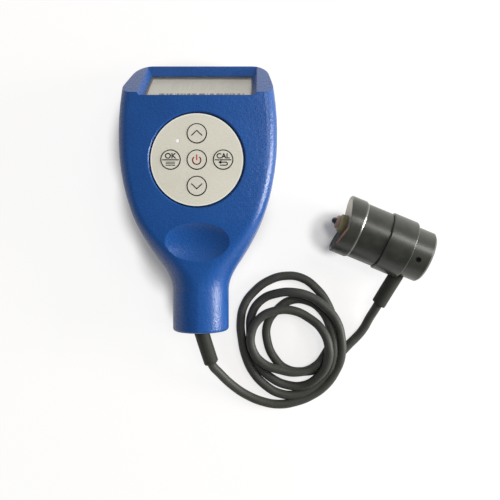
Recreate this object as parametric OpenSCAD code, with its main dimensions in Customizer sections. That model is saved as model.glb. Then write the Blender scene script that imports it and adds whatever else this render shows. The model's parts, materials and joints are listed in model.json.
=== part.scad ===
// Coating thickness gauge: a hand-held gauge with a slanted display, a round keypad and a
// separate cylindrical probe on a cable. It lies on its back, display end towards +Y.

/* [Handset] */
// Overall width of the handset
body_w = 59; // [57:0.5:63]
// Overall length of the handset
body_l = 105; // [103:0.5:111]
// Thickness of the handset
body_h = 28; // [27.5:0.5:30]
// Wall of the two shells
wall = 2; // [1.8:0.1:2.2]
// Diameter of the round neck
neck_d = 21.6; // [20.6:0.2:23]
// Length of the straight neck
neck_l = 18; // [16:0.5:20]
// Edge rounding round the front face
front_edge_r = 4.25; // [3.5:0.25:5]
// Edge rounding round the back
back_edge_r = 6; // [5:0.25:7]
// Corner rounding at the display end, seen from the front
corner_r = 5; // [4:0.25:6]
// How far each side of the head draws in towards its end
head_taper = 4.5; // [3:0.25:5]
// Width of the thumb dimple
dimple_w = 23; // [20:0.5:25]
// Length of the thumb dimple
dimple_l = 14.5; // [12:0.5:16]
// Depth of the thumb dimple
dimple_depth = 2.3; // [1.6:0.1:2.5]

/* [Display] */
// Length of the slanted end along the handset
slope_run = 16; // [15:0.25:17]
// Height of the slanted end's lower edge above the back
slope_end_z = 8; // [7.5:0.25:9]
// Thickness of the slanted wall that the display sits behind
slope_wall = 2.5; // [2:0.1:2.8]
// Width of the cheek on each side of the visible display
view_side = 9.5; // [9:0.25:11.5]
// Length of the slope above and below the visible display, together
view_margin = 6.6; // [6.2:0.1:8.6]
// Thickness of the clear window
window_t = 1; // [0.8:0.1:1.2]
// Thickness of the display panel
panel_t = 2.2; // [1.8:0.1:2.4]

/* [Keypad] */
// Diameter of the round keypad plate
pad_d = 34.2; // [32:0.2:36]
// Thickness of the keypad plate
pad_t = 1.2; // [1:0.1:1.4]
// Distance of the keypad's centre in front of the handset's middle
pad_y = 11.8; // [11:0.2:12.4]
// Distance between neighbouring keys
key_pitch = 9.6; // [9.4:0.1:10]
// Diameter of a key
key_d = 6.8; // [6.4:0.1:7.2]
// Travel of a key
key_travel = 0.3; // [0.2:0.05:0.4]

/* [Batteries] */
// Diameter of a cell
cell_d = 10.4; // [10.2:0.1:10.5]
// Length of a cell with its button
cell_l = 44.5; // [44:0.1:44.8]
// Thickness of the battery cover
cover_t = 1.8; // [1.6:0.1:2]

/* [Cable] */
// Diameter of the cable
cable_d = 3.6; // [3.2:0.1:4]
// Diameter of the sleeves at the cable's ends
sleeve_d = 5.9; // [5.5:0.1:6.2]

/* [Probe] */
// Diameter of the nose and the collar
nose_d = 23.4; // [22.6:0.1:24]
// Diameter of the barrel between them
barrel_d = 22.2; // [21.8:0.1:22.4]
// Diameter of the rear cap
cap_d = 20.4; // [20:0.1:21]
// Length of the nose
nose_l = 7.3; // [7:0.1:8]
// Length of the barrel
barrel_l = 10.5; // [10:0.1:11]
// Length of the collar
collar_l = 10.4; // [10:0.1:11]
// Length of the rear cap
cap_l = 7.9; // [7.6:0.1:8.8]
// Depth of the V groove across the nose
groove_depth = 2.3; // [2:0.1:2.8]
// How far the sensor tip stands in front of the nose
tip_reach = 3.8; // [3.4:0.1:4]
// Travel of the sprung sensor
sensor_travel = 3; // [2.5:0.1:3.2]

/* [Hidden] */

$fn = 48;
slack = 0.3;
fit = 0.15;
push_fit = 0.05;
beyond = 60;

shell_blue = [0.16, 0.32, 0.62];
dark_grey = [0.2, 0.2, 0.19];
beige = [0.8, 0.79, 0.73];
steel = [0.72, 0.72, 0.74];
brass = [0.78, 0.62, 0.3];

// Handset outline and section
half_w = body_w / 2;
end_y = body_l / 2;
part_z = body_h / 2;
neck_r = neck_d / 2;
neck_y = -end_y + neck_l;
wide_y = end_y - 30.5;
flare_l = 1.1726 * (wide_y - neck_y);
flare_power = 2.22;
neck_blend = 4;
neck_edge_r = 1.2;
head_edge_r = 3;
head_part_z = slope_end_z - 3;
head_part_run = 8;
head_part_y = end_y - 14.5;
dip_y = neck_y + 26;
tuck_y = neck_y + 14;
flat_rest = 0.3;
dimple_y = neck_y + 16.2;

function ease(t) = let (c = max(0, min(1, t))) c * c * (3 - 2 * c);
function mix(a, b, t) = a + (b - a) * t;
function blend_max(a, b, k) = max(a, b) + pow(max(k - abs(a - b), 0), 2) / (4 * k);
function edge_inset(d, r) = d < r ? r - sqrt(max(0, r * r - (r - d) * (r - d))) : 0;

function flare(y) = half_w * (1 - pow((wide_y - y) / flare_l, flare_power));
function side(y) = y < wide_y
    ? blend_max(flare(y), neck_r, neck_blend)
    : half_w - head_taper * pow((y - wide_y) / (end_y - wide_y), 2);
function neck_inset(y, i) = edge_inset(y + end_y - i, neck_edge_r);
function plan_w(y, i) = side(y) - i - neck_inset(y, i) - edge_inset(end_y - i - y, corner_r - i);
function top_z(y, i) =
    mix(body_h, part_z + neck_r, ease((dip_y - y) / (dip_y - neck_y))) - i - neck_inset(y, i);
function low_z(y, i) = mix(0, part_z - neck_r, ease((tuck_y - y) / (tuck_y - neck_y))) + i
    + neck_inset(y, i) + edge_inset(end_y - i - y, head_edge_r);
function parting_z(y) = mix(part_z, head_part_z, ease((y - head_part_y) / head_part_run));
function roundness(y) = ease((neck_y + 28 - y) / 28);
function front_r(y, i) =
    min(mix(front_edge_r, neck_r, roundness(y)) - i, top_z(y, i) - part_z - flat_rest);
function back_r(y, i) =
    max(0.4, min(mix(back_edge_r, neck_r, roundness(y)) - i,
        parting_z(y) - low_z(y, i) - flat_rest));
function dimple(x, y) = let (q = pow(2 * x / dimple_w, 2) + pow(2 * (y - dimple_y) / dimple_l, 2))
    q < 1 ? dimple_depth * (1 - q) : 0;

arc_steps = 7;
top_steps = 16;

function quarter(x, z, r, a) = [x + r * cos(a), z + r * sin(a)];

// Half of a section, from the right parting line over the front to the left one
function front_half(y, i, drop) = let (w = plan_w(y, i), z = top_z(y, i),
    r = min(front_r(y, i), w - flat_rest),
    arc = [for (k = [0:arc_steps]) quarter(w - r, z - r, r, 90 * k / arc_steps)],
    top = [for (k = [1:top_steps - 1]) let (x = (w - r) * (1 - 2 * k / top_steps))
        [x, z - (i > 0 ? dimple(x, y) : 0)]])
    concat([[w, parting_z(y) - drop]], arc, top,
        [for (k = [arc_steps:-1:0]) [-arc[k].x, arc[k].y]], [[-w, parting_z(y) - drop]]);

// Half of a section, from the left parting line under the back to the right one
function back_half(y, i, rise) = let (w = plan_w(y, i), z = low_z(y, i),
    r = min(back_r(y, i), w - flat_rest),
    arc = [for (k = [0:arc_steps]) quarter(w - r, z + r, r, -90 * k / arc_steps)])
    concat([[-w, parting_z(y) + rise]], [for (p = arc) [-p.x, p.y]],
        [for (k = [arc_steps:-1:0]) arc[k]], [[w, parting_z(y) + rise]]);

function stations(i) = let (mid_y = dip_y + 2, head_y = end_y - corner_r) concat(
    [for (a = [0:22.5:90]) -end_y + i + neck_edge_r * (1 - cos(a))],
    [-end_y + (neck_l + neck_edge_r) / 2],
    [for (k = [0:20]) mix(neck_y - 3, mid_y, k / 20)],
    [for (k = [1:11]) mix(mid_y, head_y, k / 11)],
    [for (k = [4:-1:0]) end_y - i - (corner_r - i) * (1 - cos(18 * k))]);

// Thumb dimple: a shallow dish, tilted with the face that it is cut from
dish_share = 0.5;
module dish() {
    low = top_z(dimple_y - dimple_l / 2, 0);
    high = top_z(dimple_y + dimple_l / 2, 0);
    dish_h = dimple_depth / (1 - sqrt(1 - dish_share * dish_share));
    translate([0, dimple_y, (low + high) / 2]) rotate([atan2(high - low, dimple_l), 0, 0])
        translate([0, 0, dish_h - dimple_depth])
            scale([dimple_w / 2 / dish_share, dimple_l / 2 / dish_share, dish_h]) sphere(r = 1, $fn = 96);
}

// Faces over m closed rings of n points, with both ends shut
function skin(m, n) = concat(
    [for (k = [0:m - 2]) for (j = [0:n - 1]) let (a = k * n + j, b = k * n + (j + 1) % n)
        each [[a, b, b + n], [a, b + n, a + n]]],
    [[for (j = [n - 1:-1:0]) j], [for (j = [0:n - 1]) (m - 1) * n + j]]);

module loft(sections, ys) {
    polyhedron([for (k = [0:len(ys) - 1]) for (p = sections[k]) [p.x, ys[k], p.y]],
        skin(len(ys), len(sections[0])));
}

module front_form(i, drop) {
    ys = stations(i);
    loft([for (y = ys) front_half(y, i, drop)], ys);
}

module back_form(i, rise) {
    ys = stations(i);
    loft([for (y = ys) back_half(y, i, rise)], ys);
}

// Frame of the slanted display end: x across, y down the slope, z out of it
slope_y = end_y - slope_run;
slope_a = atan2(body_h - slope_end_z, slope_run);
slope_l = norm([slope_run, body_h - slope_end_z]);
view_w = body_w - 2 * view_side;
view_low = 2.2;
view_high = view_low + slope_l - view_margin;
rim_low = -2.1;
rim_high = slope_l - 0.6;
rim_side = 1.9;
window_lap = 1.3;
panel_side = 1;
frame_t = 3.4;

module on_slope() {
    translate([0, slope_y, body_h]) rotate([-slope_a, 0, 0]) children();
}

module above_slope(depth) {
    on_slope() translate([-beyond, -beyond / 3, -depth]) cube([2 * beyond, 2 * beyond, beyond]);
}

// Drafted opening in the slanted wall, cut from one wall above it to a little below it
module display_opening() {
    grow = (view_low - rim_low) / slope_wall;
    rise = (rim_high - view_high) / slope_wall;
    spread = rim_side / slope_wall;
    levels = [-slope_wall - push_fit, slope_wall];
    points = [for (z = levels) let (d = z + slope_wall) each
        [[-view_w / 2 - spread * d, view_low - grow * d], [view_w / 2 + spread * d, view_low - grow * d],
        [view_w / 2 + spread * d, view_high + rise * d], [-view_w / 2 - spread * d, view_high + rise * d]]];
    on_slope() polyhedron([for (k = [0:7]) [points[k].x, points[k].y, levels[k < 4 ? 0 : 1]]],
        [[0, 1, 2, 3], [7, 6, 5, 4], [0, 4, 5, 1], [1, 5, 6, 2], [2, 6, 7, 3], [3, 7, 4, 0]]);
}

// Keypad
pad_seat_z = body_h - pad_t - 0.2;
pad_back_z = pad_seat_z - 1.4;
pad_gap = 0.35;
pad_edge = 0.5;
key_gap = 0.2;
key_top_z = body_h;
flange_t = 0.9;
flange_d = 2 * (key_pitch / 2 - 0.2);
flange_z = pad_back_z - 0.1 - flange_t;
key_places = [[0, key_pitch], [0, -key_pitch], [-key_pitch, 0], [key_pitch, 0], [0, 0]];
lamp_place = [-7.1, 6.9];
lamp_window_d = 1.5;

module at_pad(place) {
    translate([place.x, pad_y + place.y, 0]) children();
}

// Board inside the handset
board_w = 33.6;
board_t = 1.6;
board_z = 16.4;
board_top = board_z + board_t;
board_low_y = pad_y - 20.8;
board_high_y = slope_y - 3.5;
post_d = 4.6;
post_x = board_w / 2 - 2.6;
post_ys = [board_low_y + 4, board_high_y - 6.7];
board_screw_d = 1.8;
board_screw_head = 3.4;
switch_w = 4.6;
key_space = flange_z - board_top;
switch_h = 0.48 * key_space;
stem_d = 3;
stem_z = flange_z - key_space / 4;
switch_top = stem_z - key_travel - push_fit;
connector = [8, 4.5, 4];
board_screw_l = 7.2;

// Battery bay, opened from the back by a sliding cover
cell_gap = 0.8;
bay_wall = 1.2;
spring_l = 4.4;
plate_t = 0.4;
button_l = 0.9;
bay_half_w = cell_d + cell_gap + 1;
bay_l = cell_l + spring_l + button_l + 2 * plate_t;
bay_high_y = slope_y - 1.9;
bay_low_y = bay_high_y - bay_l;
cell_x = (cell_d + cell_gap) / 2;
cell_z = cover_t + 0.6 + cell_d / 2;
bay_top = cell_z + cell_d / 2 + slack;
cover_low_y = bay_low_y + 0.5;
cover_half_w = bay_half_w + 0.8;
tongue = 1.2;
tongue_z = cover_t - 0.75;
rail_top = cover_t + 1.6;

// Screws that join the shells
shell_screw_d = 2.4;
shell_screw_head = 4.8;
head_screw_x = half_w - 9;
neck_screw_y = bay_low_y - 4.5;
neck_screw_x = side(neck_screw_y) - 9.2;
screw_places = [for (s = [-1, 1]) each [[s * head_screw_x, wide_y], [s * neck_screw_x, neck_screw_y]]];
boss_d = 6;
screw_seat_z = 3.2;
screw_top = part_z + 7;

module at_each(places) {
    for (p = places) translate([p.x, p.y, 0]) children();
}

module at_posts() {
    at_each([for (x = [-post_x, post_x]) for (y = post_ys) [x, y]]) children();
}

// Cable and its sleeves: the ends of the route lie in line with the sleeves
neck_exit = [0, -end_y - 0.5, part_z];
route = [
    [3.5, -66, 9], [3.9, -67.5, 8.4], [6.5, -71, 6.5], [11.5, -76.5, 4], [17.5, -81, 2.5],
    [24.5, -84, 2], [31, -85, 2], [37.5, -84, 2], [44, -81.5, 2], [50, -77, 2.5], [54, -71, 3.5],
    [56, -64.5, 5.5], [56, -57, 6], [54, -50, 6], [49.5, -44.5, 6], [44, -40.5, 6],
    [37, -38.5, 6], [30, -39, 4.5], [23.5, -42, 2.5], [19.5, -48, 2], [19, -55, 2],
    [19.5, -62, 2], [22.5, -69, 2], [27.5, -74, 2], [34, -77, 2], [41, -77, 3],
    [46.5, -73, 5.5], [50, -67, 8], [50.5, -60, 9], [48, -53.5, 8], [43, -49, 6],
    [36.5, -46, 5.5], [29.5, -46, 5.5], [23, -49, 5.5], [19.5, -55, 5.5], [20, -62, 5.5],
    [24.5, -67.5, 5.5], [31, -70, 5.5], [38, -71, 5.5], [45, -69, 5], [50, -63.5, 3.5],
    [53, -57, 2], [53, -50, 2], [50.5, -43, 2], [46.5, -37.5, 2], [40.5, -33, 2],
    [33.5, -32, 2], [26.5, -34, 2], [21, -38, 2], [16.5, -44, 2], [15, -51, 2],
    [15.5, -58, 2], [17, -65, 2], [20, -71.5, 2], [25, -77, 2], [31, -80.5, 2],
    [38, -81, 2], [45, -78, 2], [50, -73, 2.5], [52.5, -66.5, 5], [53, -59.5, 5.5],
    [51.5, -52.5, 4], [48.5, -46.5, 2], [43, -42.5, 2], [36, -42, 2], [30, -46, 2],
    [26, -52, 2], [26, -59, 2], [29, -66, 2], [34, -70.5, 2], [41, -71.5, 2],
    [48, -70, 2], [54, -66, 2], [59.5, -60.5, 2], [65, -54.5, 2.5], [68, -48.7, 4],
    [70.3, -44.4, 5.6], [71, -43, 6]];
cable_in = [77, -32, 9];
cable_out = route[len(route) - 1];

function unit(v) = v / norm(v);
function heading(path, k) = unit(path[min(k + 1, len(path) - 1)] - path[max(k - 1, 0)]);
function ring(path, k, d, n) = let (t = heading(path, k), s = unit(cross(t, [0, 0, 1])), u = cross(s, t))
    [for (j = [0:n - 1]) let (a = 360 * (j + 0.5) / n) path[k] + d / 2 * (cos(a) * s + sin(a) * u)];

// Round tube of n sides along a path, with one ring at each of its points
module tube(path, d, n) {
    polyhedron([for (k = [0:len(path) - 1]) each ring(path, k, d, n)], skin(len(path), n));
}

module rod(a, b, d) {
    v = b - a;
    translate(a) rotate([0, acos(v.z / norm(v)), atan2(v.y, v.x)]) cylinder(h = norm(v), d = d);
}

// Probe: z runs from the front of the nose to the rear cap, -x is up, -y is the cable's side
nose_r = nose_d / 2;
probe_front = [54.9, -10.6, nose_r];
probe_turn = -22.5;
probe_roll = 14.5;
groove_turn = -7;
collar_z = nose_l + barrel_l;
cap_z = collar_z + collar_l;
probe_end = cap_z + cap_l;
nose_face_t = 3.5;
nose_chamfer = 0.6;
spigot_r = barrel_d / 2 - 2.1;
tail_r = barrel_d / 2 - 1.7;
tail_l = 4.4;
barrel_bore = barrel_d / 2 - 3.1;
relief_w = 0.9;
relief_d = 0.5;
collar_bore = 6.8;
collar_spigot_r = 8;
collar_spigot_l = 4.8;
disc_t = 1.4;
holder_r = 3.6;
holder_flange_r = barrel_bore - slack;
holder_flange_t = 3;
holder_front = -0.8;
holder_tail_r = 3;
core_r = 1.3;
bush_r = 2.6;
coil_r = 2.9;
coil_z = 0.8;
coil_l = 4.4;
disc_z = collar_z + tail_l + push_fit - disc_t;
flange_front_z = nose_face_t + 0.1;
flange_rear_z = flange_front_z + holder_flange_t;
spring_front_z = flange_rear_z + sensor_travel + slack;
tail_end_z = flange_rear_z + 4;
set_screw_d = 2;
set_screw_z = cap_z + 3;
sleeve_depth = 4;

module on_probe() {
    translate(probe_front) rotate([0, 0, probe_turn]) rotate([0, 90, 0]) rotate([0, 0, probe_roll])
        children();
}

module probe_turned(profile) {
    on_probe() rotate_extrude() polygon(profile);
}

module sleeve_hole() {
    v = unit(cable_out - cable_in);
    rod(cable_in - 9 * v, cable_in + 4 * v, sleeve_d + 2 * push_fit);
}

// Helical spring of round wire along z, closed at both ends
module coil_spring(r, wire, length, turns) {
    steps = 12 * turns;
    sides = 6;
    points = [for (k = [0:steps]) for (j = [0:sides - 1])
        let (a = 30 * k, b = 360 * j / sides, q = r + wire / 2 * cos(b))
            [q * cos(a), q * sin(a), wire / 2 + (length - wire) * k / steps + wire / 2 * sin(b)]];
    polyhedron(points, skin(steps + 1, sides));
}

module front_shell() {
    color(shell_blue) difference() {
        union() {
            difference() {
                front_form(0, 0);
                difference() {
                    front_form(wall, 1);
                    above_slope(slope_wall);
                }
            }
            translate([0, pad_y, pad_back_z]) cylinder(h = 1.2, d = pad_d + 4);
            at_posts() translate([0, 0, board_top]) cylinder(h = body_h - wall / 2 - board_top, d = post_d);
            for (p = screw_places) translate([p.x, p.y, part_z])
                cylinder(h = top_z(p.y, wall) + 0.5 - dimple(p.x, p.y) - part_z, d = boss_d);
        }
        above_slope(0);
        dish();
        display_opening();
        translate([0, pad_y, pad_seat_z]) cylinder(h = beyond, d = pad_d + 2 * pad_gap);
        translate([0, pad_y, body_h - pad_edge]) cylinder(h = 2 * pad_edge, d1 = pad_d + 2 * pad_gap,
            d2 = pad_d + 2 * pad_gap + 4 * pad_edge);
        for (p = key_places) at_pad(p) cylinder(h = beyond, d = key_d + 4 * key_gap);
        at_pad(lamp_place) cylinder(h = beyond, d = lamp_window_d + 2 * fit);
        at_posts() cylinder(h = board_top + 5, d = board_screw_d + 2 * push_fit);
        at_each(screw_places) cylinder(h = screw_top + slack, d = shell_screw_d + 2 * push_fit);
        neck_hole();
    }
}

module neck_hole() {
    translate([0, -end_y + wall + 1, part_z]) rotate([90, 0, 0])
        cylinder(h = wall + 3, d = sleeve_d + 2 * push_fit);
}

module rear_shell() {
    color(shell_blue) difference() {
        union() {
            difference() {
                back_form(0, 0);
                back_form(wall, 1);
            }
            translate([-bay_half_w - bay_wall, bay_low_y - bay_wall, 1])
                cube([2 * (bay_half_w + bay_wall), bay_l + 2 * bay_wall, bay_top + bay_wall - 1]);
            translate([-cover_half_w - tongue - 1.4, bay_low_y - bay_wall, 1])
                cube([2 * (cover_half_w + tongue + 1.4), end_y - wall / 2 - bay_low_y, rail_top - 1]);
            for (p = screw_places) let (z = low_z(p.y, wall) - 0.5) translate([p.x, p.y, z])
                cylinder(h = part_z - z, d = boss_d + 1);
        }
        translate([-bay_half_w, bay_low_y, cover_t]) cube([2 * bay_half_w, bay_l, bay_top - cover_t]);
        translate([-cover_half_w - fit, cover_low_y - fit, -1])
            cube([2 * (cover_half_w + fit), beyond * 2, cover_t + fit + 1]);
        translate([-cover_half_w - tongue - fit, cover_low_y - fit, tongue_z - fit])
            cube([2 * (cover_half_w + tongue + fit), beyond * 2, cover_t + 2 * fit - tongue_z]);
        at_each(screw_places) translate([0, 0, -1])
            cylinder(h = screw_seat_z + 1, d = shell_screw_head + 2 * fit);
        at_each(screw_places) cylinder(h = part_z + 1, d = shell_screw_d + 2 * fit);
        neck_hole();
    }
}

module battery_cover() {
    grip_y = end_y - 12;
    profile = [[cover_low_y, 0], [end_y - 1.9, 0], [end_y - 0.8, 0.9], [end_y - 0.3, cover_t],
        [cover_low_y, cover_t]];
    color(shell_blue) difference() {
        union() {
            translate([-cover_half_w, 0, 0]) rotate([90, 0, 90])
                linear_extrude(2 * cover_half_w) polygon(profile);
            translate([-cover_half_w - tongue, cover_low_y, tongue_z])
                cube([2 * (cover_half_w + tongue), end_y - 4 - cover_low_y, cover_t - tongue_z]);
        }
        for (k = [0:3]) translate([0, grip_y + 2 * k, -0.4]) rotate([0, 90, 0])
            cylinder(h = 16, d = 1.6, center = true);
    }
}

module cell() {
    rotate([-90, 0, 0]) {
        cylinder(h = cell_l - 1, d = cell_d);
        cylinder(h = cell_l, d = 3.8);
    }
}

module battery_left() {
    color("dimgray") translate([-cell_x, bay_low_y + plate_t + spring_l, cell_z]) cell();
}

module battery_right() {
    color("dimgray") translate([cell_x, bay_high_y - plate_t - spring_l, cell_z]) rotate([0, 0, 180]) cell();
}

module at_bay_ends() {
    for (turn = [0, 180]) translate([0, (bay_low_y + bay_high_y) / 2, cell_z]) rotate([0, 0, turn])
        translate([0, -bay_l / 2, 0]) children();
}

module contact_plate() {
    plate_w = cell_d - 1.4;
    translate([-plate_w / 2, 0, -plate_w / 2]) cube([plate_w, plate_t, plate_w]);
}

module battery_springs() {
    color(steel) at_bay_ends() translate([-cell_x, 0, 0]) {
        contact_plate();
        translate([0, plate_t - push_fit, 0]) rotate([-90, 0, 0]) coil_spring(3, 0.7, spring_l, 3);
    }
}

module battery_contacts() {
    color(steel) at_bay_ends() translate([cell_x, 0, 0]) {
        contact_plate();
        rotate([-90, 0, 0]) cylinder(h = plate_t + button_l, d = 3);
    }
}

module main_board() {
    color("darkgreen") difference() {
        translate([-board_w / 2, board_low_y, board_z]) cube([board_w, board_high_y - board_low_y, board_t]);
        at_posts() cylinder(h = beyond, d = board_screw_d + 2 * fit);
    }
}

module processor() {
    color("black") translate([-4.5, pad_y - 4.5, board_z - 1.4]) cube([9, 9, 1.4]);
}

module key_switches() {
    color("black") for (p = key_places) at_pad(p) translate([0, 0, board_top]) {
        translate([-switch_w / 2, -switch_w / 2, 0]) cube([switch_w, switch_w, switch_h]);
        cylinder(h = switch_top - board_top, d = 2.6);
    }
}

module board_connector() {
    color("ivory") translate([-connector.x / 2, board_low_y, board_top]) cube(connector);
}

module board_screws() {
    color(steel) at_posts() translate([0, 0, board_z - 1.2]) {
        cylinder(h = 1.2, d = board_screw_head);
        cylinder(h = board_screw_l, d = board_screw_d);
    }
}

module on_slope_plate(w, low, high, depth, t) {
    on_slope() translate([-w / 2, low, -depth - t]) cube([w, high - low, t]);
}

module display_window() {
    color([0.8, 0.85, 0.9, 0.4])
        on_slope_plate(view_w + 3, view_low - window_lap, view_high + window_lap, slope_wall, window_t);
}

panel_depth = slope_wall + window_t;
panel_low = view_low - window_lap - slack;
panel_high = view_high + panel_side;

module display_panel() {
    color([0.69, 0.68, 0.62]) on_slope_plate(view_w + 2, panel_low, panel_high, panel_depth, panel_t);
}

module display_frame() {
    frame_w = view_w + 6;
    color("black") difference() {
        on_slope_plate(frame_w, panel_low - 0.8, panel_high + 1.2, panel_depth, frame_t);
        on_slope_plate(view_w + 2 + fit, panel_low - fit, panel_high + fit, panel_depth - 1, panel_t + 1);
        on_slope_plate(view_w - 6, panel_low + 3.4, panel_high - 3.4, panel_depth, 2 * frame_t);
    }
}

module display_ribbon() {
    back = panel_depth + panel_t;
    function at(s) = [slope_y + s * cos(slope_a) - back * sin(slope_a),
        body_h - s * sin(slope_a) - back * cos(slope_a)];
    middle = (panel_low + panel_high) / 2;
    profile = [[board_high_y - 2, board_top], [board_high_y + 0.5, board_top], at(middle + slack), at(middle),
        [board_high_y + 0.5, board_top + slack], [board_high_y - 2, board_top + slack]];
    color("goldenrod") translate([-10, 0, 0]) rotate([90, 0, 90]) linear_extrude(20) polygon(profile);
}

module keypad_plate() {
    color(beige) difference() {
        translate([0, pad_y, pad_seat_z]) cylinder(h = pad_t, d = pad_d);
        for (p = key_places) at_pad(p) cylinder(h = beyond, d = key_d + 2 * key_gap);
        at_pad(lamp_place) cylinder(h = beyond, d = lamp_window_d + 2 * push_fit);
    }
}

module key(place) {
    color(beige) at_pad(place) {
        translate([0, 0, flange_z + flange_t - push_fit])
            cylinder(h = key_top_z - flange_z - flange_t + push_fit, d = key_d);
        translate([0, 0, flange_z]) cylinder(h = flange_t, d = flange_d);
        translate([0, 0, stem_z]) cylinder(h = flange_z - stem_z + push_fit, d = stem_d);
    }
}

module key_up() { key(key_places[0]); }
module key_down() { key(key_places[1]); }
module key_ok() { key(key_places[2]); }
module key_cal() { key(key_places[3]); }
module key_power() { key(key_places[4]); }

lamp_h = 1.6;

module indicator_window() {
    low = board_top + lamp_h + slack;
    color("white") at_pad(lamp_place) translate([0, 0, low])
        cylinder(h = pad_seat_z + pad_t - low, d = lamp_window_d);
}

module indicator_lamp() {
    color("white") at_pad(lamp_place) translate([0, 0, board_top]) {
        translate([-1, -0.8, 0]) cube([2, 1.6, lamp_h / 2]);
        cylinder(h = lamp_h, d = 1.4);
    }
}

module shell_screws() {
    head_h = 2.2;
    color(steel) at_each(screw_places) {
        difference() {
            translate([0, 0, screw_seat_z - head_h]) cylinder(h = head_h, d = shell_screw_head);
            for (turn = [0, 90]) translate([0, 0, screw_seat_z - head_h]) rotate([0, 0, turn])
                cube([2.8, 0.7, 2], center = true);
        }
        translate([0, 0, screw_seat_z - push_fit]) cylinder(h = screw_top - screw_seat_z, d = shell_screw_d);
    }
}

sleeve_flange_y = -end_y + wall + 0.1;
sleeve_flange_t = 1.5;

module inner_lead() {
    color(dark_grey) rod([0, sleeve_flange_y + sleeve_flange_t + slack, part_z],
        [0, board_low_y - slack, board_top + connector.z / 2], cable_d - 0.6);
}

module handset_sleeve() {
    color(dark_grey) {
        translate([0, sleeve_flange_y, part_z]) rotate([-90, 0, 0])
            cylinder(h = sleeve_flange_t, d = sleeve_d + 3.5);
        tube([[0, sleeve_flange_y + sleeve_flange_t / 2, part_z], neck_exit, route[0]], sleeve_d, 24);
    }
}

module probe_cable() {
    color(dark_grey) tube(route, cable_d, 8);
}

module probe_sleeve() {
    color(dark_grey) rod(cable_in - sleeve_depth * unit(cable_out - cable_in), cable_out, sleeve_d);
}

module probe_nose() {
    groove_half = nose_r - 1.4;
    profile = [[holder_r + 0.2, 0], [nose_r - 0.3, 0], [nose_r, 0.3], [nose_r, nose_l - 2 * nose_chamfer],
        [nose_r - nose_chamfer, nose_l], [spigot_r + push_fit, nose_l], [spigot_r + push_fit, nose_face_t],
        [holder_r + 0.2, nose_face_t]];
    color(dark_grey) difference() {
        probe_turned(profile);
        on_probe() rotate(groove_turn) translate([-nose_d, 0, 0]) rotate([90, 0, 90])
            linear_extrude(2 * nose_d)
                polygon([[-groove_half - 1, -1], [groove_half + 1, -1], [groove_half, 0], [0, groove_depth],
                    [-groove_half, 0]]);
    }
}

module probe_barrel() {
    color(dark_grey) probe_turned([[barrel_bore, nose_face_t], [spigot_r, nose_face_t], [spigot_r, nose_l],
        [barrel_d / 2, nose_l], [barrel_d / 2, collar_z - relief_w],
        [barrel_d / 2 - relief_d, collar_z - relief_w], [barrel_d / 2 - relief_d, collar_z],
        [tail_r, collar_z], [tail_r, collar_z + tail_l],
        [barrel_bore, collar_z + tail_l]]);
}

module probe_collar() {
    edge = 0.8;
    color(dark_grey) difference() {
        probe_turned([[tail_r + push_fit, collar_z], [nose_r - 0.3, collar_z], [nose_r, collar_z + 0.3],
            [nose_r, cap_z - edge], [nose_r - 0.3 * edge, cap_z - 0.4 * edge], [nose_r - edge, cap_z],
            [collar_spigot_r, cap_z], [collar_spigot_r, cap_z + collar_spigot_l],
            [collar_bore, cap_z + collar_spigot_l], [collar_bore, collar_z + tail_l + push_fit],
            [tail_r + push_fit, collar_z + tail_l + push_fit]]);
        sleeve_hole();
    }
}

module rear_cap() {
    edge = 0.8;
    inner = cap_z + collar_spigot_l + 0.2;
    color(dark_grey) difference() {
        probe_turned([[collar_spigot_r + push_fit, cap_z], [cap_d / 2, cap_z], [cap_d / 2, probe_end - edge],
            [cap_d / 2 - edge, probe_end], [0, probe_end], [0, inner], [collar_spigot_r + push_fit, inner]]);
        sleeve_hole();
        on_probe() translate([0, 0, set_screw_z]) rotate([0, -90, 0])
            cylinder(h = beyond, d = set_screw_d + 2 * push_fit);
    }
}

module set_screw() {
    hex_w = 1;
    depth = cap_d / 2 - collar_spigot_r - 0.8;
    color(steel) on_probe() translate([-collar_spigot_r - push_fit, 0, set_screw_z]) rotate([0, -90, 0])
        difference() {
            cylinder(h = depth, d = set_screw_d);
            translate([0, 0, depth - 0.8]) cylinder(h = 1, d = hex_w / cos(30), $fn = 6);
        }
}

module sensor_holder() {
    color(steel) probe_turned([[bush_r, holder_front], [holder_r - 0.4, holder_front],
        [holder_r, holder_front + 0.4], [holder_r, flange_front_z],
        [holder_flange_r, flange_front_z], [holder_flange_r, flange_rear_z],
        [holder_tail_r, flange_rear_z], [holder_tail_r, tail_end_z], [core_r, tail_end_z],
        [core_r, coil_z + coil_l], [coil_r, coil_z + coil_l], [coil_r, coil_z], [bush_r, coil_z]]);
}

module sensor_core() {
    color("dimgray") on_probe() {
        translate([0, 0, core_r - tip_reach]) cylinder(h = tail_end_z + tip_reach - core_r, r = core_r);
        translate([0, 0, core_r - tip_reach]) sphere(r = core_r);
    }
}

module sensor_bush() {
    front = -tip_reach + 1.7;
    color(brass) probe_turned([[core_r, front], [bush_r - 0.4, front], [bush_r, front + 0.4],
        [bush_r, coil_z], [core_r, coil_z]]);
}

module sensor_coil() {
    color("peru") probe_turned([[core_r, coil_z], [coil_r, coil_z], [coil_r, coil_z + coil_l],
        [core_r, coil_z + coil_l]]);
}

module sensor_spring() {
    color(steel) on_probe() translate([0, 0, spring_front_z]) coil_spring(5, 0.9, disc_z - spring_front_z, 4);
}

module terminal_disc() {
    color("darkgreen") probe_turned([[0, disc_z], [barrel_bore - push_fit, disc_z],
        [barrel_bore - push_fit, disc_z + disc_t], [0, disc_z + disc_t]]);
}

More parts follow.
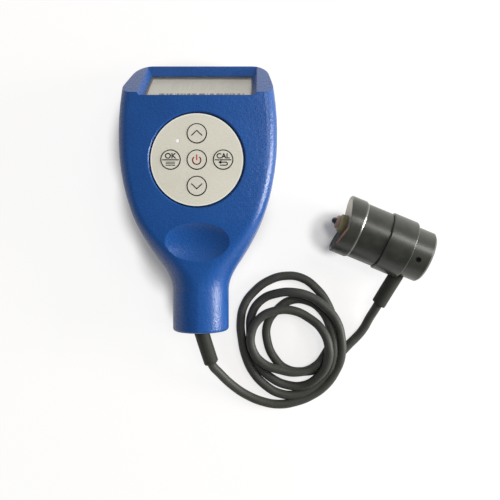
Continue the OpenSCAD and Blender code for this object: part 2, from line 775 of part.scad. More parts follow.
front_shell();
rear_shell();
battery_cover();
battery_left();
battery_right();
battery_springs();
battery_contacts();
main_board();
processor();
key_switches();
board_connector();
board_screws();
display_window();
display_panel();
display_frame();
display_ribbon();
keypad_plate();
key_up();
key_down();
key_ok();
key_cal();
key_power();
indicator_window();
indicator_lamp();
shell_screws();
inner_lead();
handset_sleeve();
probe_cable();
probe_sleeve();
probe_nose();
probe_barrel();
probe_collar();
rear_cap();
set_screw();
sensor_holder();
sensor_core();
sensor_bush();
sensor_coil();
sensor_spring();
terminal_disc();
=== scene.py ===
import json
import math

import bmesh
import bpy
from mathutils import Matrix, Vector


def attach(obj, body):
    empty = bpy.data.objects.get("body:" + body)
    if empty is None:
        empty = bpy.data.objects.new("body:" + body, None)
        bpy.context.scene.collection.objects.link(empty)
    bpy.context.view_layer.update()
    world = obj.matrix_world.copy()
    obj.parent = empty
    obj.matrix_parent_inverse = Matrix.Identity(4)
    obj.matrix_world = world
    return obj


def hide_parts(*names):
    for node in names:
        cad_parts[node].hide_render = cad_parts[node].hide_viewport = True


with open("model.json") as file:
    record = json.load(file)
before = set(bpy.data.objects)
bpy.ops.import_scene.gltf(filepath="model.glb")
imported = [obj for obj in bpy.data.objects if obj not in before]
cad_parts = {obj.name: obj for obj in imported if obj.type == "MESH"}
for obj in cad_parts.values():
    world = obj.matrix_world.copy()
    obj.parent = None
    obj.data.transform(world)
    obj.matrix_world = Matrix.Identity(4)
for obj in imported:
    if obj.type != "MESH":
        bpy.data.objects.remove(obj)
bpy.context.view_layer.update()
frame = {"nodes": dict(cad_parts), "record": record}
nodes = frame["nodes"]
nodeBody = {name: body for body, names in frame["record"]["behaviour"]["bodies"].items() for name in names}
scene = bpy.context.scene
scene.view_settings.view_transform = "Standard"
mm = 0.001

# camera straight above the gauge
cameraSet = {"above": (23.8, -20.1, 225), "lens": 38.88, "shift": (-0.024, -0.006)}
cameraData = bpy.data.cameras.new("camera")
cameraData.sensor_width = 36
cameraData.lens = cameraSet["lens"]
cameraData.shift_x, cameraData.shift_y = cameraSet["shift"]
cameraData.clip_start = 0.01
camera = bpy.data.objects.new("camera", cameraData)
camera.location = Vector(cameraSet["above"]) * mm
scene.collection.objects.link(camera)
scene.camera = camera
print("camera set")


def addCurve(name, points, radius, radii=None):
    data = bpy.data.curves.new(name, "CURVE")
    data.dimensions = "3D"
    data.resolution_u = 6
    data.bevel_depth = 1  # the points carry the radius, which keeps the curve's box tight
    data.bevel_resolution = 5
    data.use_fill_caps = True
    spline = data.splines.new("BEZIER")
    spline.bezier_points.add(len(points) - 1)
    for k, (knot, point) in enumerate(zip(spline.bezier_points, points)):
        knot.co = Vector(point) * mm
        knot.handle_left_type = knot.handle_right_type = "AUTO"
        knot.radius = radius * mm * (radii[k] if radii else 1)
    piece = bpy.data.objects.new(name, data)
    scene.collection.objects.link(piece)
    return piece


def addMesh(name, work):
    bmesh.ops.recalc_face_normals(work, faces=work.faces)
    return linkMesh(name, work)


def linkMesh(name, work):
    mesh = bpy.data.meshes.new(name)
    work.to_mesh(mesh)
    work.free()
    piece = bpy.data.objects.new(name, mesh)
    scene.collection.objects.link(piece)
    return piece


def asMesh(piece):
    # a curve or a text becomes a mesh with its place in it
    bpy.context.view_layer.update()
    mesh = bpy.data.meshes.new_from_object(piece.evaluated_get(bpy.context.evaluated_depsgraph_get()))
    mesh.transform(piece.matrix_world)
    name = piece.name
    bpy.data.objects.remove(piece)
    made = bpy.data.objects.new(name, mesh)
    mesh.name = name
    scene.collection.objects.link(made)
    return made


# cable, in loose loops on the table
cableSet = {"diameter": 3.6, "length": 0.543, "exit": (0, -52.5, 14)}
cableRoute = [
    (3.5, -66, 9), (3.9, -67.5, 8.4), (6.5, -71, 6.5), (11.5, -76.5, 4), (17.5, -81, 2.5),
    (24.5, -84, 2), (31, -85, 2), (37.5, -84, 2), (44, -81.5, 2), (50, -77, 2.5), (54, -71, 3.5),
    (56, -64.5, 5.5), (56, -57, 6), (54, -50, 6), (49.5, -44.5, 6), (44, -40.5, 6),
    (37, -38.5, 6), (30, -39, 4.5), (23.5, -42, 2.5), (19.5, -48, 2), (19, -55, 2),
    (19.5, -62, 2), (22.5, -69, 2), (27.5, -74, 2), (34, -77, 2), (41, -77, 3),
    (46.5, -73, 5.5), (50, -67, 8), (50.5, -60, 9), (48, -53.5, 8), (43, -49, 6),
    (36.5, -46, 5.5), (29.5, -46, 5.5), (23, -49, 5.5), (19.5, -55, 5.5), (20, -62, 5.5),
    (24.5, -67.5, 5.5), (31, -70, 5.5), (38, -71, 5.5), (45, -69, 5), (50, -63.5, 3.5),
    (53, -57, 2), (53, -50, 2), (50.5, -43, 2), (46.5, -37.5, 2), (40.5, -33, 2),
    (33.5, -32, 2), (26.5, -34, 2), (21, -38, 2), (16.5, -44, 2), (15, -51, 2),
    (15.5, -58, 2), (17, -65, 2), (20, -71.5, 2), (25, -77, 2), (31, -80.5, 2),
    (38, -81, 2), (45, -78, 2), (50, -73, 2.5), (52.5, -66.5, 5), (53, -59.5, 5.5),
    (51.5, -52.5, 4), (48.5, -46.5, 2), (43, -42.5, 2), (36, -42, 2), (30, -46, 2),
    (26, -52, 2), (26, -59, 2), (29, -66, 2), (34, -70.5, 2), (41, -71.5, 2),
    (48, -70, 2), (54, -66, 2), (59.5, -60.5, 2), (65, -54.5, 2.5), (68, -48.7, 4),
    (70.3, -44.4, 5.6), (71, -43, 6)]
cable = addCurve("cable", cableRoute, cableSet["diameter"] / 2)

# sleeves at the cable's two ends, with a rounded lip
sleeveSet = {"radius": 2.95, "lip": 0.97,
             "neckPath": [(0, -49.6, 14), (0, -52.2, 14), (0.8, -55.8, 12.9), (2.1, -60.9, 10.95),
                          (3.4, -65.7, 9.1), (3.5, -66, 9)],
             "probePath": [(78.7, -28.6, 9.9), (77, -32, 9), (74, -37.5, 7.5), (71.2, -42.7, 6.1),
                           (71, -43, 6)]}
neckSleeve = asMesh(addCurve("neckSleeve", sleeveSet["neckPath"], sleeveSet["radius"],
                             [1, 1, 1, 1, 1, sleeveSet["lip"]]))
probeSleeve = asMesh(addCurve("probeSleeve", sleeveSet["probePath"], sleeveSet["radius"],
                              [1, 1, 1, 1, sleeveSet["lip"]]))
for piece, node in ((cable, "probe_cable"), (neckSleeve, "handset_sleeve"), (probeSleeve, "probe_sleeve")):
    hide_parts(node)
    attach(piece, "gauge")
print("cable laid")


class Value:  # a socket that joins in sums
    def __init__(self, tree, socket):
        self.tree = tree
        self.socket = socket

    def node(self, kind, settings=None, inputs=None, out=0):
        made = self.tree.nodes.new("ShaderNode" + kind)
        for key, setting in (settings or {}).items():
            setattr(made, key, setting)
        for key, given in (inputs or {}).items():
            if isinstance(given, Value):
                self.tree.links.new(given.socket, made.inputs[key])
            else:
                made.inputs[key].default_value = given
        return Value(self.tree, made.outputs[out])

    def sum(self, operation, first, second):
        return self.node("Math", {"operation": operation}, {0: first, 1: second})

    def __add__(self, other):
        return self.sum("ADD", self, other)

    def __radd__(self, other):
        return self.sum("ADD", other, self)

    def __sub__(self, other):
        return self.sum("SUBTRACT", self, other)

    def __rsub__(self, other):
        return self.sum("SUBTRACT", other, self)

    def __mul__(self, other):
        return self.sum("MULTIPLY", self, other)

    def __rmul__(self, other):
        return self.sum("MULTIPLY", other, self)

    def __lt__(self, other):
        return self.sum("LESS_THAN", self, other)

    def __gt__(self, other):
        return self.sum("GREATER_THAN", self, other)


def rgb(red, green, blue):
    # screen colour, 0 to 255, as the shader's linear colour
    part = [c / 255 for c in (red, green, blue)]
    return tuple(c / 12.92 if c <= 0.04045 else ((c + 0.055) / 1.055) ** 2.4 for c in part) + (1,)


def startFinish(name, **constants):
    material = bpy.data.materials.new(name)
    material.use_nodes = True
    tree = material.node_tree
    tree.nodes.clear()
    shader = tree.nodes.new("ShaderNodeBsdfPrincipled")
    output = tree.nodes.new("ShaderNodeOutputMaterial")
    tree.links.new(shader.outputs[0], output.inputs[0])
    for key, setting in constants.items():
        shader.inputs[key.replace("_", " ")].default_value = setting
    coordinates = tree.nodes.new("ShaderNodeTexCoord")
    return material, shader, Value(tree, coordinates.outputs["Object"])


def feed(shader, **links):
    for key, given in links.items():
        given.tree.links.new(given.socket, shader.inputs[key.replace("_", " ")])


def noise(place, scale, detail=2, roughness=0.5):
    return place.node("TexNoise", None, {"Vector": place, "Scale": scale, "Detail": detail,
                                         "Roughness": roughness})


def lineNoise(value, scale, detail=2, roughness=0.5):
    # noise along one length
    return value.node("TexNoise", {"noise_dimensions": "1D"},
                      {"W": value, "Scale": scale, "Detail": detail, "Roughness": roughness})


def mixColour(factor, first, second):
    return factor.node("Mix", {"data_type": "RGBA"}, {0: factor, 6: first, 7: second}, out=2)


def band(value, low, high):
    return (value > low) * (value < high)


def softStep(value, low, high):
    return value.node("MapRange", {"interpolation_type": "SMOOTHSTEP"},
                      {"Value": value, "From Min": low, "From Max": high, "To Min": 0.0, "To Max": 1.0})


def roundEdges(place, radius):
    return place.node("Bevel", {"samples": 6}, {"Radius": radius * mm})


def bump(height, distance, strength=1.0, normal=None):
    inputs = {"Height": height, "Distance": distance * mm, "Strength": strength}
    if normal:
        inputs["Normal"] = normal
    return height.node("Bump", None, inputs)


def along(place, start, axis):
    # distance along an axis from a start point, in millimetres
    offset = place.node("VectorMath", {"operation": "SUBTRACT"}, {0: place, 1: tuple(Vector(start) * mm)})
    return offset.node("VectorMath", {"operation": "DOT_PRODUCT"}, {0: offset, 1: axis}, out=1) * 1000


def flatDistance(place, centre):
    # distance from a vertical axis, in millimetres
    axis = (centre[0] * mm, centre[1] * mm, 0)
    offset = place.node("VectorMath", {"operation": "SUBTRACT"}, {0: place, 1: axis})
    level = offset.node("VectorMath", {"operation": "MULTIPLY"}, {0: offset, 1: (1, 1, 0)})
    return level.node("VectorMath", {"operation": "LENGTH"}, {0: level}, out=1) * 1000


def setFinish(piece, material):
    piece.data.materials.clear()
    piece.data.materials.append(material)


# blue moulded plastic with a fine spark texture
blueSet = {"colour": rgb(24, 75, 142), "shade": rgb(20, 67, 130), "rough": 0.18, "edge": 0.35,
           "grain": 0.4, "grainHeight": 0.07, "ripple": 1.1, "rippleHeight": 0.13, "crown": 0.0018}


def blueFinish(name):
    material, shader, place = startFinish(name, Specular_IOR_Level=0.45)
    cloud = noise(place, 60, 3)
    grain = noise(place, 1000 / blueSet["grain"], 3, 0.65)
    ripple = noise(place, 1000 / blueSet["ripple"], 2, 0.6)
    across = along(place, (0, 0, 0), (1, 0, 0))
    relief = grain * blueSet["grainHeight"] + ripple * blueSet["rippleHeight"]
    relief = relief - across * across * blueSet["crown"]  # the faces are a little rounded
    tone = softStep(cloud * 0.5 + grain * 0.5, 0.3, 0.7)
    feed(shader, Base_Color=mixColour(tone, blueSet["shade"], blueSet["colour"]),
         Roughness=blueSet["rough"] + 0.16 * grain + 0.05 * cloud,
         Normal=bump(relief, 1.0, 1.0, roundEdges(place, blueSet["edge"])))
    return material


bluePlastic = blueFinish("bluePlastic")

# keypad film: a printed ring round each key, a paler rim that is a painted highlight on the plate's chamfer,
# and a dark edge that is painted shade in the gap round the plate
padSet = {"centre": (0, 11.8), "pitch": 9.6, "keyRadius": 3.4, "keyEdge": 4.7, "keyHole": 3.74, "ring": 0.08,
          "colour": rgb(202, 200, 187), "shade": rgb(191, 189, 177), "ink": rgb(22, 22, 22),
          "red": rgb(184, 24, 38), "edge": (16.92, 18),
          "rim": (16.5, 16.92), "rimHighlightColour": rgb(215, 214, 207)}
keySteps = {"key_up": (0, 1), "key_down": (0, -1), "key_ok": (-1, 0), "key_cal": (1, 0), "key_power": (0, 0)}
keySpots = {name: (padSet["centre"][0] + x * padSet["pitch"], padSet["centre"][1] + y * padSet["pitch"])
            for name, (x, y) in keySteps.items()}


def filmFinish(name, rings):
    material, shader, place = startFinish(name)
    speck = noise(place, 2800, 2, 0.7)
    cloud = noise(place, 90, 2)
    paper = mixColour(softStep(speck * 0.75 + cloud * 0.25, 0.36, 0.62), padSet["shade"], padSet["colour"])
    ink = 0
    for centre, low, high in rings:
        ink = band(flatDistance(place, centre), low, high) + ink
    # painted highlight: a paler ring just inside the plate's edge, where its chamfer would catch the light
    rim = band(flatDistance(place, padSet["centre"]), *padSet["rim"])
    paper = mixColour(rim, paper, padSet["rimHighlightColour"])
    feed(shader, Base_Color=mixColour(ink, paper, padSet["ink"]), Roughness=0.42 + 0.2 * speck,
         Normal=bump(speck, 0.02, 0.5, roundEdges(place, 0.12)))
    return material


# the last ring is painted shade: a dark band over the plate's outer edge, where the gap round it lies in
# shadow
plateFilm = filmFinish("plateFilm", [(spot, 0, padSet["keyHole"]) for spot in keySpots.values()]
                       + [(padSet["centre"], *padSet["edge"])])


def inkFinish(name, colour):
    material, shader, place = startFinish(name)
    patch = noise(place, 3000, 2)
    feed(shader, Base_Color=mixColour(patch, colour, tuple(0.8 * c for c in colour[:3]) + (1,)),
         Roughness=0.45 + 0.15 * patch)
    return material


blackInk = inkFinish("blackInk", padSet["ink"])
redInk = inkFinish("redInk", padSet["red"])

# display: grey reflective panel with bars in place of words and faint figures, behind a clear window
slopeSet = {"start": (0, 36.5, 28), "angle": math.atan2(20, 16)}
slopeDown = (0, math.cos(slopeSet["angle"]), -math.sin(slopeSet["angle"]))
displaySet = {"colour": rgb(221, 216, 201), "shade": rgb(212, 208, 194), "ink": rgb(44, 48, 58),
              "row": (5.2, 6.9), "rowReach": (-15, 17), "figures": (10.5, 17.5), "figureReach": (-13, 13),
              "view": (20.0, 2.2, 21.2), "edge": 0.45}


def displayFinish():
    material, shader, place = startFinish("displayGrey", Coat_Weight=0.6, Coat_Roughness=0.08)
    down = along(place, slopeSet["start"], slopeDown)
    across = along(place, (0, 0, 0), (1, 0, 0))
    dots = noise(place, 1500, 1)
    fade = softStep(down + 2 * noise(place, 40, 2), 4, 22)
    tone = mixColour(fade, displaySet["colour"], displaySet["shade"])
    bars = (lineNoise(across, 0.9, 3) > 0.47) * band(across, *displaySet["rowReach"])
    bars = bars * band(down, *displaySet["row"])
    figures = (lineNoise(across, 0.35) > 0.5) * band(across, *displaySet["figureReach"])
    figures = figures * band(down, *displaySet["figures"])
    half, low, high = displaySet["view"]  # a dark edge round what the opening shows
    margin = displaySet["edge"]
    edge = 1 - band(across, margin - half, half - margin) * band(down, low, high - margin)
    marks = bars * 0.85 + figures * 0.06 + edge * 0.8
    ink = marks.node("Clamp", None, {0: marks})
    feed(shader, Base_Color=mixColour(ink, tone, displaySet["ink"]), Roughness=0.25 + 0.15 * dots,
         Normal=bump(dots, 0.01, 0.3))
    return material


def windowFinish():
    material, shader, place = startFinish("clearWindow", Alpha=0.1, Base_Color=(0.9, 0.92, 0.94, 1))
    haze = noise(place, 300, 3)
    feed(shader, Roughness=0.04 + 0.06 * haze, Normal=bump(haze, 0.004, 0.3, roundEdges(place, 0.2)))
    return material


# black anodised probe, turned, with bright bands where the cutter broke the edge
probeSet = {"front": (54.9, -10.6, 11.7), "turn": math.radians(-22.5), "roll": math.radians(7.5),
            "colour": rgb(52, 54, 48), "shade": rgb(38, 40, 35), "bright": rgb(128, 130, 124),
            "machined": rgb(150, 146, 128), "copper": rgb(186, 132, 102), "noseBand": (6.75, 7.31),
            "collarBand": (27.92, 28.19), "reflectionSide": (-7.5, -0.2), "reflectionHeight": (16, 20)}
probeAxis = (math.cos(probeSet["turn"]), math.sin(probeSet["turn"]), 0)
probeSide = Vector((-probeAxis[1], probeAxis[0], 0))
grooveSide = Matrix.Rotation(probeSet["roll"], 3, Vector(probeAxis)) @ probeSide


def anodisedFinish(name, bright=(), faces=False, edge=0.25, paler=0.0):
    material, shader, place = startFinish(name, Specular_IOR_Level=0.6)
    reach = along(place, probeSet["front"], probeAxis)
    lathe = lineNoise(reach, 9, 3, 0.7)
    cloud = noise(place, 220, 3, 0.6)
    speck = noise(place, 2400, 2)
    tone = softStep(cloud * 0.6 + lathe * 0.4 + paler, 0.35, 0.65)
    black = mixColour(tone, probeSet["shade"], probeSet["colour"])
    colour, shine, dull = black, 0, 0
    for low, high in bright:
        shine = band(reach, low, high) * (0.85 + 0.15 * cloud) + shine
    if bright:
        colour = mixColour(shine, colour, probeSet["bright"])
    if faces:
        # the groove across the nose: one flank worn bright, the other black with a coppery patch near its top
        # that is a painted reflection
        facing = place.node("NewGeometry", None, None, out=1)
        front = facing.node("VectorMath", {"operation": "DOT_PRODUCT"}, {0: facing, 1: probeAxis}, out=1)
        sideways = along(place, probeSet["front"], tuple(grooveSide))
        cut = (front < -0.5) * (reach > 0.03)
        upper = cut * softStep(sideways, -0.4, 0.3) * (0.75 + 0.25 * cloud)
        height = place.node("SeparateXYZ", None, {0: place}, out=2) * 1000
        # painted reflection: a coppery patch on the black flank's upper part
        paintedReflection = cut * band(sideways, *probeSet["reflectionSide"]) * softStep(height, *probeSet["reflectionHeight"])
        colour = mixColour(paintedReflection * 0.85, mixColour(upper, colour, probeSet["machined"]), probeSet["copper"])
        shine = upper * 0.8 + paintedReflection * 0.6 + shine
        dull = (cut - upper) * 0.5  # the black flank is left rough
    feed(shader, Base_Color=colour)
    if bright or faces:
        feed(shader, Metallic=shine)
    feed(shader, Roughness=0.24 + 0.1 * lathe + 0.08 * speck + dull,
         Normal=bump(lathe * 0.6 + speck * 0.4, 0.012, 0.5, roundEdges(place, edge)))
    return material


def metalFinish(name, colour, rough=0.28, grain=700, edge=0.1, metallic=1.0):
    material, shader, place = startFinish(name, Metallic=metallic)
    cloud = noise(place, 260, 3)
    scratch = noise(place, grain, 4, 0.7)
    dark = tuple(0.72 * c for c in colour[:3]) + (1,)
    feed(shader, Base_Color=mixColour(softStep(cloud, 0.3, 0.7), dark, colour),
         Roughness=rough + 0.2 * scratch,
         Normal=bump(scratch, 0.008, 0.5, roundEdges(place, edge)))
    return material


def rubberFinish(name, colour, rough, grain=0.18):
    material, shader, place = startFinish(name, Specular_IOR_Level=0.35)
    cloud = noise(place, 150, 3)
    fine = noise(place, 1000 / grain, 2)
    dust = softStep(noise(place, 420, 4, 0.7), 0.52, 0.75)
    grey = tuple(min(1, 1.7 * c + 0.01) for c in colour[:3]) + (1,)
    feed(shader, Base_Color=mixColour(dust * 0.35 + cloud * 0.2, colour, grey),
         Roughness=rough + 0.15 * cloud + 0.1 * fine,
         Normal=bump(fine, 0.02, 0.4))
    return material


def plasticFinish(name, colour, rough=0.45, edge=0.15):
    material, shader, place = startFinish(name)
    cloud = noise(place, 200, 3)
    fine = noise(place, 4000, 2)
    dark = tuple(0.82 * c for c in colour[:3]) + (1,)
    feed(shader, Base_Color=mixColour(cloud, dark, colour), Roughness=rough + 0.12 * fine,
         Normal=bump(fine, 0.02, 0.3, roundEdges(place, edge)))
    return material


# green board with paler tracks
boardSet = {"colour": rgb(18, 74, 40), "track": rgb(46, 116, 66), "pitch": 2, "trackPart": (0.1, 0.35)}


def trackLines(value):
    # one track in each pitch; the shift keeps the values above zero
    turns = value * (1 / boardSet["pitch"]) + 100
    return band(turns.node("Math", {"operation": "FRACT"}, {0: turns}), *boardSet["trackPart"])


def boardFinish():
    material, shader, place = startFinish("boardGreen")
    across = along(place, (0, 0, 0), (1, 0, 0))
    up = along(place, (0, 0, 0), (0, 1, 0))
    patch = noise(place, 300, 0)
    tracks = trackLines(up) * (patch < 0.45) + trackLines(across) * (patch > 0.5)
    feed(shader, Base_Color=mixColour(tracks, boardSet["colour"], boardSet["track"]),
         Roughness=0.3 + 0.2 * patch, Normal=bump(tracks, 0.03, 0.6))
    return material


# cells: how far along each starts, and its jacket and stripe from there
cellSet = {"left": -11.2, "right": -14.7, "jacket": (1, 43), "stripe": (30, 42), "metal": rgb(200, 200, 204),
           "colour": rgb(38, 40, 46), "stripeColour": rgb(176, 118, 44)}


def cellFinish(name, start):
    # printed jacket with a bright end and a coloured band
    material, shader, place = startFinish(name)
    reach = along(place, (0, start, 0), (0, 1, 0))
    jacket = band(reach, *cellSet["jacket"])
    stripe = band(reach, *cellSet["stripe"])
    cloud = noise(place, 180, 3)
    colour = mixColour(stripe, cellSet["colour"], cellSet["stripeColour"])
    feed(shader, Base_Color=mixColour(jacket, cellSet["metal"], colour), Metallic=1 - jacket,
         Roughness=0.28 + 0.15 * cloud, Normal=bump(cloud, 0.01, 0.3, roundEdges(place, 0.3)))
    return material


steelBright = metalFinish("steelBright", rgb(205, 206, 208))
steelDark = metalFinish("steelDark", rgb(96, 96, 96), 0.32)
brassDull = metalFinish("brassDull", rgb(168, 158, 122), 0.45, metallic=0.4)
bronzeDull = metalFinish("bronzeDull", rgb(186, 156, 142), 0.45, metallic=0.4)
blackSteel = metalFinish("blackSteel", rgb(84, 84, 82), 0.35)
copperWire = metalFinish("copperWire", rgb(196, 112, 60), 0.3, 1800)
blackPlastic = plasticFinish("blackPlastic", rgb(30, 30, 31))
ivoryPlastic = plasticFinish("ivoryPlastic", rgb(226, 220, 196))
lampPlastic = plasticFinish("lampPlastic", rgb(244, 244, 240), 0.2)
amberFilm = plasticFinish("amberFilm", rgb(176, 112, 40), 0.35)
print("finishes mixed")


def smoothCopy(nodeName, material, sharp=32, rim=None):
    # the solid's own surface, welded and shaded smooth up to its edges and a round rim
    work = bmesh.new()
    work.from_mesh(nodes[nodeName].data)
    bmesh.ops.remove_doubles(work, verts=work.verts, dist=2e-6)
    for face in work.faces:
        face.smooth = True
    for edge in work.edges:
        limit = sharp
        if rim:
            middle = (edge.verts[0].co + edge.verts[1].co) / 2 / mm
            off = math.hypot((middle.x - rim["x"]) / rim["halfWidth"],
                             (middle.y - rim["y"]) / rim["halfLength"])
            if abs(off - 1) < rim["band"] and middle.z > rim["above"]:
                limit = rim["sharp"]
        edge.smooth = len(edge.link_faces) == 2 and edge.calc_face_angle() < math.radians(limit)
    words = nodeName.split("_")
    piece = linkMesh(words[0] + "".join(w.capitalize() for w in words[1:]) + "Skin", work)
    weighted = piece.modifiers.new("weighted", "WEIGHTED_NORMAL")
    weighted.keep_sharp = True
    setFinish(piece, material)
    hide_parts(nodeName)
    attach(piece, nodeBody[nodeName])


dimpleRim = {"x": 0, "y": -18.3, "halfWidth": 11.5, "halfLength": 7.25, "above": 23.0, "band": 0.04,
             "sharp": 6}
smoothCopy("front_shell", bluePlastic, rim=dimpleRim)
for nodeName in ("rear_shell", "battery_cover"):
    smoothCopy(nodeName, bluePlastic)
smoothCopy("keypad_plate", plateFilm)
for nodeName, spot in keySpots.items():
    ring = (spot, padSet["keyRadius"] - padSet["ring"], padSet["keyEdge"])
    smoothCopy(nodeName, filmFinish(nodeName + "Film", [ring]))
smoothCopy("display_window", windowFinish())
smoothCopy("display_panel", displayFinish())
smoothCopy("probe_nose", anodisedFinish("noseBlack", [probeSet["noseBand"]], faces=True))
smoothCopy("probe_barrel", anodisedFinish("barrelBlack"))
smoothCopy("probe_collar", anodisedFinish("collarBlack", [probeSet["collarBand"]], edge=0.1))
smoothCopy("rear_cap", anodisedFinish("capBlack", edge=0.12, paler=0.2))
boardGreen = boardFinish()
for nodeName, material in (
        ("battery_left", cellFinish("leftJacket", cellSet["left"])),
        ("battery_right", cellFinish("rightJacket", cellSet["right"])),
        ("battery_springs", steelBright), ("battery_contacts", steelBright), ("main_board", boardGreen),
        ("processor", blackPlastic), ("key_switches", blackPlastic), ("board_connector", ivoryPlastic),
        ("board_screws", steelBright), ("display_frame", blackPlastic), ("display_ribbon", amberFilm),
        ("indicator_window", lampPlastic), ("indicator_lamp", lampPlastic), ("shell_screws", steelBright),
        ("set_screw", blackSteel), ("sensor_holder", brassDull), ("sensor_core", steelDark),
        ("sensor_bush", bronzeDull), ("sensor_coil", copperWire), ("sensor_spring", steelBright),
        ("terminal_disc", boardGreen)):
    smoothCopy(nodeName, material)
cableRubber = rubberFinish("cableRubber", rgb(52, 53, 49), 0.42)
setFinish(cable, cableRubber)
setFinish(neckSleeve, rubberFinish("sleeveRubber", rgb(36, 38, 32), 0.5))
setFinish(probeSleeve, neckSleeve.data.materials[0])
setFinish(nodes["inner_lead"], cableRubber)
print("solids dressed")

# printed signs on the keys
signSet = {"top": 28.0, "height": 0.03, "line": 0.4, "listLine": 0.28, "headLine": 0.34, "powerLine": 0.42,
           "lap": 0.6, "listTop": -0.95, "listStep": 0.58, "listHalf": 1.6, "okSize": 2.8, "calSize": 2.6,
           "wordRise": 1.25, "wordBold": 0.075, "powerRadius": 1.5, "powerDrop": 0.25,
           "powerTurn": (42, 319, 12)}
arrowPath = [(-1.9, -0.75), (0, 1.05), (1.9, -0.75)]
divider = [(-2.9, -0.1), (2.9, -0.1)]
returnPath = [(-1.2, -0.95), (1.1, -0.95), (1.55, -1.25), (1.55, -1.75), (1.1, -2.05), (-1.0, -2.05)]
returnHead = [(-0.75, -0.55), (-1.5, -0.95), (-0.75, -1.35), (-0.75, -0.55)]
powerBar = [(0, -0.15), (0, 1.75)]


def addStroke(work, points, width):
    # a flat line of even width through the points, as joined plates
    for start, end in zip(points, points[1:]):
        way = Vector(end) - Vector(start)
        middle = (Vector(start) + Vector(end)) / 2
        plate = (way.length + width * signSet["lap"], width, signSet["height"], 1)
        bmesh.ops.create_cube(work, size=1, matrix=Matrix.Translation((*middle, 0))
                              @ Matrix.Rotation(math.atan2(way.y, way.x), 4, "Z") @ Matrix.Diagonal(plate))


def onKey(body, rise=0):
    across, up = keySpots[body]
    return Vector((across, up + rise, signSet["top"] + signSet["height"] / 2)) * mm


def placeSign(name, work, material, body):
    bmesh.ops.scale(work, vec=(mm, mm, mm), verts=work.verts)
    bmesh.ops.translate(work, vec=onKey(body), verts=work.verts)
    piece = addMesh(name, work)
    setFinish(piece, material)
    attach(piece, body)


def placeWord(name, text, size, body):
    data = bpy.data.curves.new(name, "FONT")
    data.body = text
    data.size = size * mm
    data.extrude = signSet["height"] * mm / 2
    data.offset = signSet["wordBold"] * mm
    data.align_x = "CENTER"
    data.align_y = "CENTER"
    piece = bpy.data.objects.new(name, data)
    piece.location = onKey(body, signSet["wordRise"])
    scene.collection.objects.link(piece)
    piece = asMesh(piece)
    setFinish(piece, blackInk)
    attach(piece, body)


for nodeName, turn in (("key_up", 1), ("key_down", -1)):
    work = bmesh.new()
    addStroke(work, [(across, up * turn) for across, up in arrowPath], signSet["line"])
    placeSign(nodeName + "Arrow", work, blackInk, nodeName)

work = bmesh.new()  # menu key: a bar under its word, and a short list
addStroke(work, divider, signSet["line"])
for k in range(3):
    rise = signSet["listTop"] - signSet["listStep"] * k
    addStroke(work, [(-signSet["listHalf"], rise), (signSet["listHalf"], rise)], signSet["listLine"])
placeSign("menuBars", work, blackInk, "key_ok")
placeWord("okWord", "OK", signSet["okSize"], "key_ok")

work = bmesh.new()  # return key: a bar under its word, and a bent arrow
addStroke(work, divider, signSet["line"])
addStroke(work, returnPath, signSet["line"])
addStroke(work, returnHead, signSet["headLine"])
placeSign("returnArrow", work, blackInk, "key_cal")
placeWord("calWord", "CAL", signSet["calSize"], "key_cal")

work = bmesh.new()  # power key: an open ring with a bar
turns = [math.radians(a) for a in range(*signSet["powerTurn"])]
arc = [(signSet["powerRadius"] * math.sin(a), signSet["powerRadius"] * math.cos(a) - signSet["powerDrop"])
       for a in turns]
addStroke(work, arc, signSet["powerLine"])
addStroke(work, powerBar, signSet["powerLine"])
placeSign("powerSign", work, redInk, "key_power")
print("signs printed")

# table and light
# a pool or spot is a centre, an inner and an outer radius, in millimetres, and a shadow spot has its lift too
# a lamp has a place, a size, a power and whether reflections show it
lightSet = {"ambient": 0.3, "lean": 0.22, "ceiling": 0.12, "ceilingLean": 0.3, "warm": (1, 0.985, 0.96),
            "aim": (0.02, -0.02, 0), "paint": (0.96, 0.95, 0.925, 1), "white": (1, 0.992, 0.992, 1),
            "floorHalf": 4, "floorDrop": 0.0002, "floorLift": 0.86, "floorMirror": 0.4, "underGlow": 0.5,
            "openPool": ((20, -15), 110, 260), "underPool": ((0, 14), 6, 38),
            "shadowSpots": [((-2, 22), 32.5, 40, 0.2), ((-4, 0), 26.5, 35, 0.2),  # head
                            ((-5, -20), 18, 26, 0.15), ((-3, -41), 9, 16, 0.15),  # waist and neck
                            ((52, -14), 6, 11, 0.15), ((36, -58), 26, 38, 0.72)],  # nose and loops
            "lamps": {"window": ((0.58, -0.01, 0.18), (0.24, 0.19), 4.7, True),
                      "key": ((0.16, 0.07, 0.6), (0.12, 0.12), 1.28, False),
                      "softbox": ((0.36, 0.2, 0.55), (0.16, 0.16), 1.0, True)}}
work = bmesh.new()
bmesh.ops.create_grid(work, x_segments=1, y_segments=1, size=lightSet["floorHalf"])
bmesh.ops.translate(work, vec=(0, 0, -lightSet["floorDrop"]), verts=work.verts)
floor = linkMesh("floor", work)
floorLook = bpy.data.materials.new("paleFloor")
floorLook.use_nodes = True
tree = floorLook.node_tree
tree.nodes.clear()
output = tree.nodes.new("ShaderNodeOutputMaterial")
path = tree.nodes.new("ShaderNodeLightPath")
seen = Value(tree, path.outputs["Is Camera Ray"])
mirrored = Value(tree, path.outputs["Is Glossy Ray"])
through = Value(tree, path.outputs["Is Transmission Ray"])
behind = seen.node("NewGeometry", None, None, out=6)
paint = seen.node("BsdfDiffuse", None, {"Color": lightSet["paint"]})
glow = seen.node("Emission", None, {"Color": lightSet["white"], "Strength": 1.0})
clear = seen.node("BsdfTransparent")
place = Value(tree, tree.nodes.new("ShaderNodeTexCoord").outputs["Object"])
spread = Value(tree, path.outputs["Is Diffuse Ray"])
middle, near, far = lightSet["openPool"]  # the far floor is plain white
lift = softStep(flatDistance(place, middle), near, far) * (1 - lightSet["floorLift"])
lift = lift + lightSet["floorLift"]
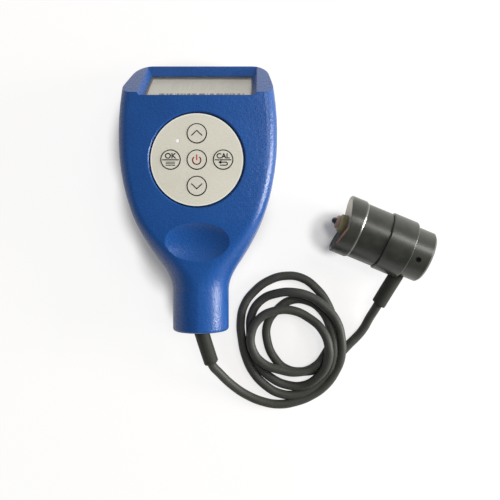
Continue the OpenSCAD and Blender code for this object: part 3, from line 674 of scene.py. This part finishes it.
for spot, near, far, least in lightSet["shadowSpots"]:  # less lift where the object's shadow shows
    away = softStep(flatDistance(place, spot), near, far)
    lift = (lift - least) * away + least
middle, near, far = lightSet["underPool"]  # a soft glow under the head lights its back for views from below
under = (1 - softStep(flatDistance(place, middle), near, far)) * lightSet["underGlow"]
strength = (seen + through + mirrored * lightSet["floorMirror"]) * lift + spread * under
lifted = seen.node("MixShader", None, {0: strength, 1: paint, 2: glow})
shown = seen.node("MixShader", None, {0: seen * behind, 1: lifted, 2: clear})
tree.links.new(shown.socket, output.inputs[0])
setFinish(floor, floorLook)

world = bpy.data.worlds.new("studio")
scene.world = world
world.use_nodes = True
tree = world.node_tree
tree.nodes.clear()
output = tree.nodes.new("ShaderNodeOutputWorld")
path = tree.nodes.new("ShaderNodeLightPath")
seen = Value(tree, path.outputs["Is Camera Ray"])
mirrored = Value(tree, path.outputs["Is Glossy Ray"])
through = Value(tree, path.outputs["Is Transmission Ray"])
heading = seen.node("TexCoord")  # generated: the way a ray looks
sideways, forward, height = (heading.node("SeparateXYZ", None, {0: heading}, out=k) for k in range(3))
above = softStep(height, 0.05, 0.5)  # reflections see white round the table and a dim ceiling over it
ceiling = softStep(forward, -0.1, 0.6) * lightSet["ceilingLean"] + lightSet["ceiling"]
mirror = (mirrored + through) * (1 - above * (1 - ceiling))
ambient = (1 - seen) * (1 - mirrored) * (1 - through) * (sideways * lightSet["lean"] + lightSet["ambient"])
brightness = seen + (1 - seen) * mirror + ambient
sky = seen.node("Background", None, {"Color": (1, 1, 1, 1), "Strength": brightness})
tree.links.new(sky.socket, output.inputs[0])

for name, (spot, size, power, gloss) in lightSet["lamps"].items():
    lampData = bpy.data.lights.new(name, "AREA")
    lampData.shape = "RECTANGLE"
    lampData.size, lampData.size_y = size
    lampData.energy = power
    lampData.color = lightSet["warm"]
    lamp = bpy.data.objects.new(name, lampData)
    lamp.location = spot
    lamp.rotation_euler = (Vector(lightSet["aim"]) - lamp.location).to_track_quat("-Z", "Y").to_euler()
    lamp.visible_camera = False
    lamp.visible_glossy = gloss
    scene.collection.objects.link(lamp)
print("light set")
